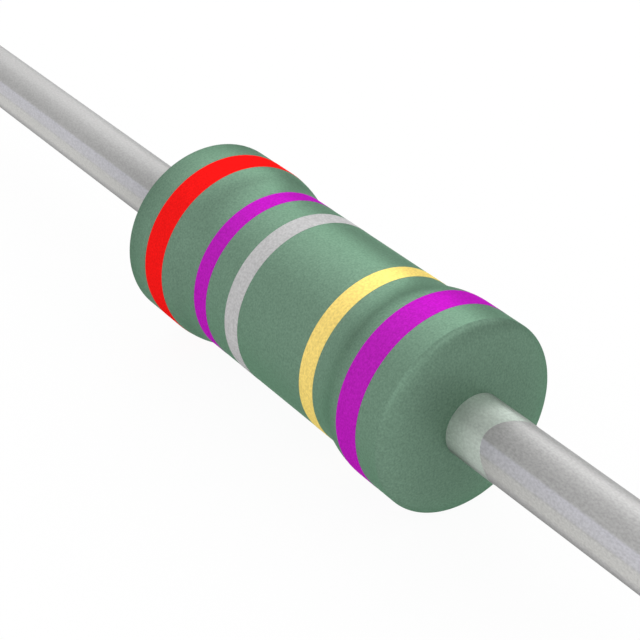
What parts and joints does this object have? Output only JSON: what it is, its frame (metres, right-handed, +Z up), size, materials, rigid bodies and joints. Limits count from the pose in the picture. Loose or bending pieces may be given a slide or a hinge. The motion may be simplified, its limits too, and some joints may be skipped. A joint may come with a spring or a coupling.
{
  "type": "axial resistor",
  "caption": "Axial-lead film resistor: dog-bone green lacquered body with coloured value bands and straight round wire leads on its axis.",
  "frame": {"origin": "middle of the body on its axis, which is also the middle of the whole part", "axes": "+X along the leads towards the end with the wide violet band, +Z up"},
  "size_m": [0.026, 0.0026, 0.0026],
  "materials": {
    "ceramic": "fired, matte white",
    "metal_film": "vacuum-deposited alloy, satin grey",
    "cap_steel": "drawn sheet, tinned",
    "tinned_wire": "drawn copper wire, bright tinned",
    "green_lacquer": "satin green lacquer",
    "red_ink": "opaque red ink",
    "violet_ink": "opaque violet ink",
    "silver_ink": "silver flake ink",
    "gold_ink": "gold flake ink"
  },
  "bodies": {
    "root": {"ceramic_rod": "ceramic", "resistive_film": "metal_film", "left_end_cap": "cap_steel", "right_end_cap": "cap_steel", "left_lead": "tinned_wire", "right_lead": "tinned_wire", "lacquer_coat": "green_lacquer", "red_band": "red_ink", "violet_band": "violet_ink", "silver_band": "silver_ink", "gold_band": "gold_ink", "wide_violet_band": "violet_ink"}
  },
  "joints": []
}
